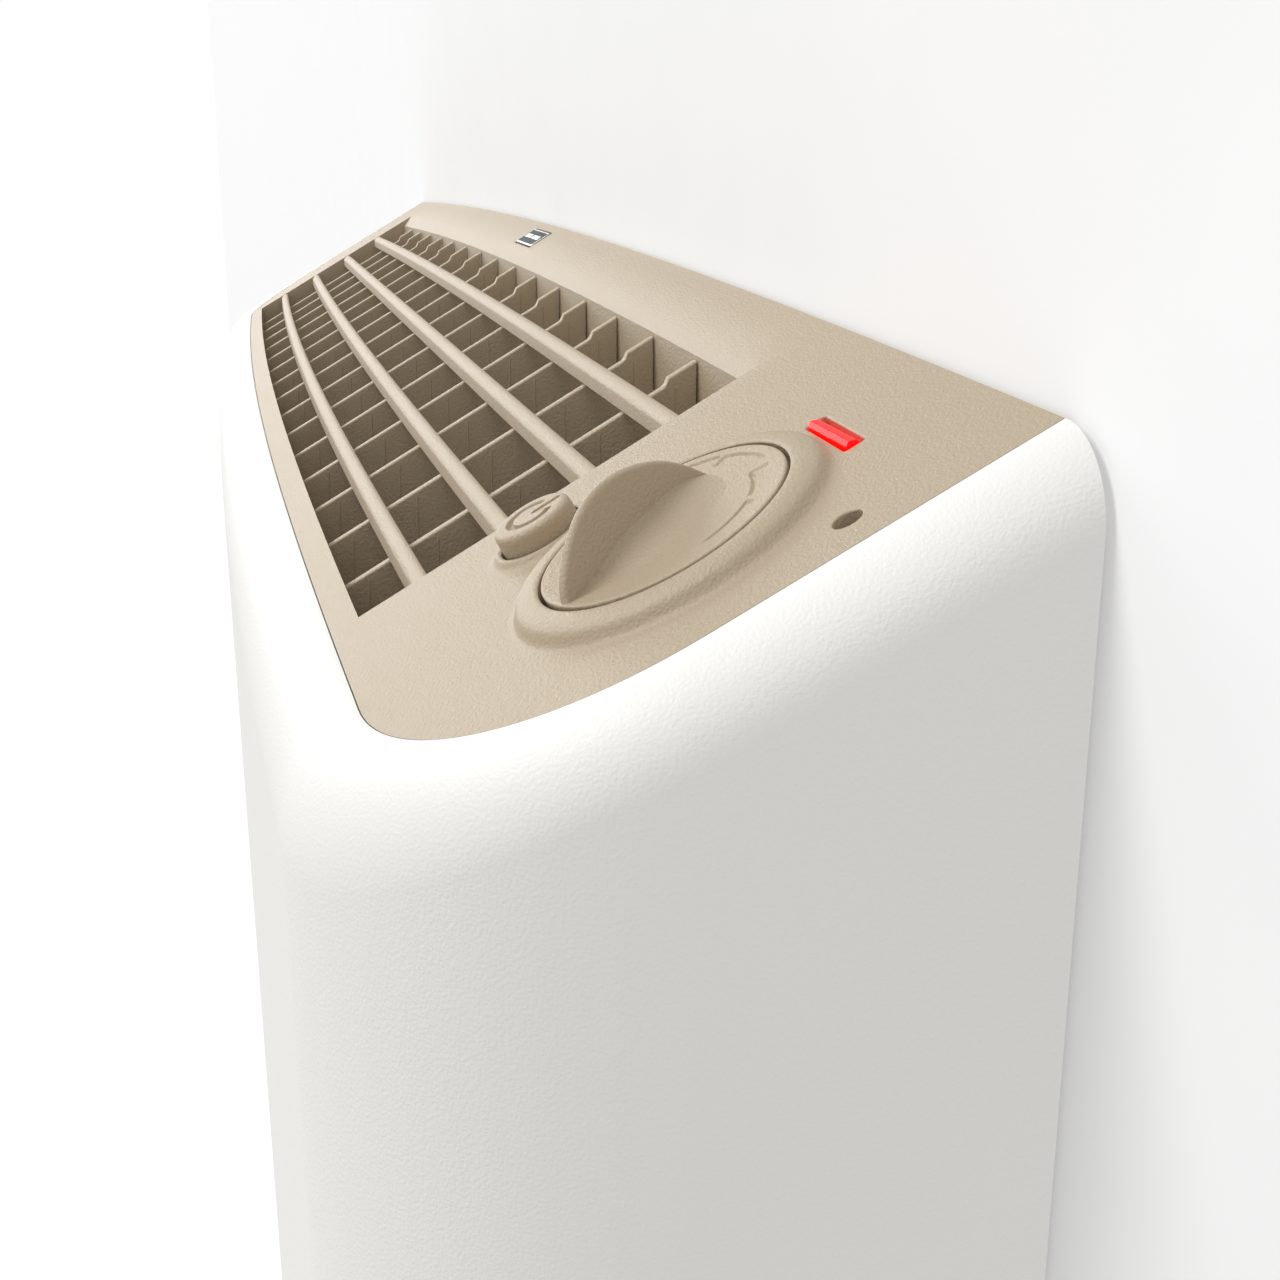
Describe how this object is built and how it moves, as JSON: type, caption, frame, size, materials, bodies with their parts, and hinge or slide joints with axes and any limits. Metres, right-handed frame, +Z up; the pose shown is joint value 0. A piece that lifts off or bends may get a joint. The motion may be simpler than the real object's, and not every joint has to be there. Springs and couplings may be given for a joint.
{
  "type": "wall-hung ceramic fan heater",
  "caption": "Wall-hung ceramic fan heater: white casing, sloped beige top panel with a slatted outlet, dial knob, push button and indicator.",
  "frame": {"origin": "centre of the wall bracket's rear face, on the wall plane", "axes": "+Z up, -Y out of the wall towards the room, +X to the end with the controls"},
  "size_m": [0.6966, 0.1021, 0.43],
  "materials": {
    "casing_white": "fine moulded grain, satin",
    "panel_beige": "fine moulded grain, satin",
    "grille_brown": "plain moulded",
    "galvanised_steel": "zinc coated sheet",
    "screw_steel": "zinc plated",
    "badge_metal": "satin anodised plate with a bright border",
    "lens_red": "clear red, polished",
    "lamp_glass": "clear lamp envelope",
    "cream_plastic": "plain moulded",
    "black_plastic": "plain moulded",
    "rubber_black": "moulded rubber",
    "bronze": "sintered bush",
    "aluminium": "rolled sheet",
    "ceramic": "fired heating ceramic in its sleeve",
    "mica": "pressed mica-filled board",
    "copper": "drawn copper tube",
    "lead_sleeve": "silicone sleeved lead"
  },
  "bodies": {
    "housing": {"front_casing": "casing_white", "top_panel": "panel_beige", "outlet_grille": "panel_beige", "intake_grille": "grille_brown", "back_cover": "galvanised_steel", "wall_bracket": "galvanised_steel", "control_plate": "galvanised_steel", "scroll_rear": "galvanised_steel", "duct_front": "galvanised_steel", "outlet_duct": "galvanised_steel", "end_plate_left": "galvanised_steel", "end_plate_right": "galvanised_steel", "fan_motor": "galvanised_steel", "cover_screw_1": "screw_steel", "cover_screw_2": "screw_steel", "cover_screw_3": "screw_steel", "cover_screw_4": "screw_steel", "cover_screw_5": "screw_steel", "cover_screw_6": "screw_steel", "duct_screw_1": "screw_steel", "duct_screw_2": "screw_steel", "duct_screw_3": "screw_steel", "duct_screw_4": "screw_steel", "control_screw_1": "screw_steel", "control_screw_2": "screw_steel", "control_screw_3": "screw_steel", "badge_plate": "badge_metal", "indicator_lens": "lens_red", "indicator_lamp": "lamp_glass", "thermostat_body": "cream_plastic", "terminal_block": "cream_plastic", "switch_body": "black_plastic", "thermal_cutout": "black_plastic", "cord_gland": "rubber_black", "bearing_housing": "rubber_black", "bearing_bush": "bronze", "heat_shield": "aluminium", "heat_fins_1": "aluminium", "heat_fins_2": "aluminium", "heat_fins_3": "aluminium", "heat_fins_4": "aluminium", "ceramic_bar_1": "ceramic", "ceramic_bar_2": "ceramic", "ceramic_bar_3": "ceramic", "element_frame": "mica", "capillary_bulb": "copper", "lead_switch": "lead_sleeve", "lead_thermostat": "lead_sleeve", "lead_motor": "lead_sleeve", "lead_element": "lead_sleeve"},
    "knob": {"thermostat_knob": "panel_beige", "thermostat_spindle": "screw_steel"},
    "button": {"power_button": "panel_beige", "switch_plunger": "cream_plastic"},
    "fan_rotor": {"fan_wheel": "aluminium", "fan_shaft": "screw_steel"}
  },
  "joints": [
    {"name": "knob_turn", "type": "hinge", "parent": "housing", "child": "knob", "pos_m": [0.2972, -0.04078, 0.19346], "axis": [0.0274, -0.4998, 0.8657], "range_deg": [-135, 135]},
    {"name": "button_press", "type": "slide", "parent": "housing", "child": "button", "axis": [-0.0244, 0.4999, -0.8658], "range_m": [0, 0.002], "stiffness_N_per_m": 900, "springref_m": -0.001},
    {"name": "fan_spin", "type": "hinge", "parent": "housing", "child": "fan_rotor", "pos_m": [0, -0.056, -0.118], "axis": [1, 0, 0], "continuous": true}
  ]
}
